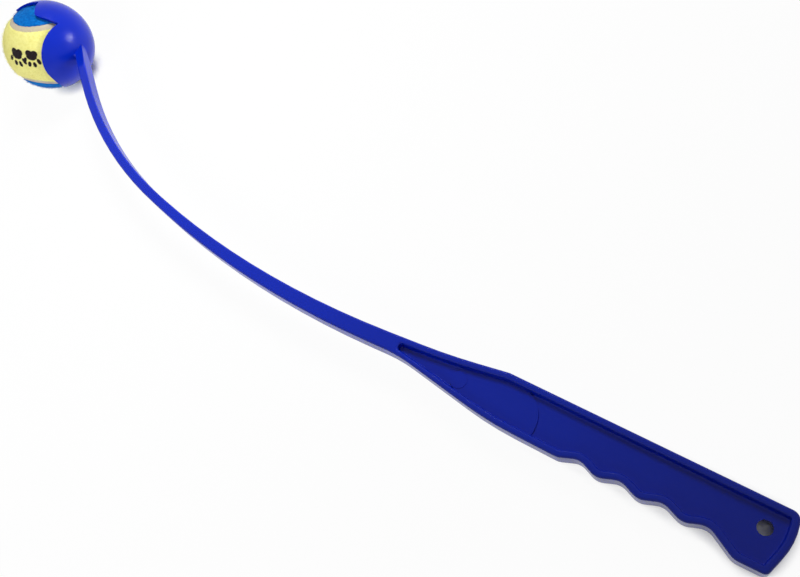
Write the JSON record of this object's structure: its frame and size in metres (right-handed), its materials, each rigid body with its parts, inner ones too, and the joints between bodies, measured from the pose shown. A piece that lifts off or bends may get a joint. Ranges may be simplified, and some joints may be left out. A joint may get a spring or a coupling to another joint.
{
  "type": "dog tennis ball launcher",
  "caption": "Long curved plastic arm with a finger-grooved grip and a clawed cup that holds and throws a felt ball for a dog.",
  "frame": {"origin": "centre of the hang hole, on the mid plane of the moulding", "axes": "+X from the butt towards the head, +Y towards the finger grooves and the throwing side, +Z square out of the side face along the hang hole"},
  "size_m": [0.6678, 0.1495, 0.0666],
  "materials": {
    "launcher_plastic": "semi-gloss moulded",
    "core_rubber": "matte",
    "yellow_felt": "brushed felt",
    "blue_felt": "brushed felt",
    "seam_rubber": "matte"
  },
  "bodies": {
    "launcher": {"launcher": "launcher_plastic"},
    "ball": {"ball_core_lower": "core_rubber", "ball_core_upper": "core_rubber", "ball_felt_yellow": "yellow_felt", "ball_felt_blue": "blue_felt", "ball_seam": "seam_rubber"}
  },
  "joints": [
    {"name": "ball_release", "type": "slide", "parent": "launcher", "child": "ball", "axis": [0.5299, 0.848, 0], "range_m": [0, 0.075]}
  ]
}
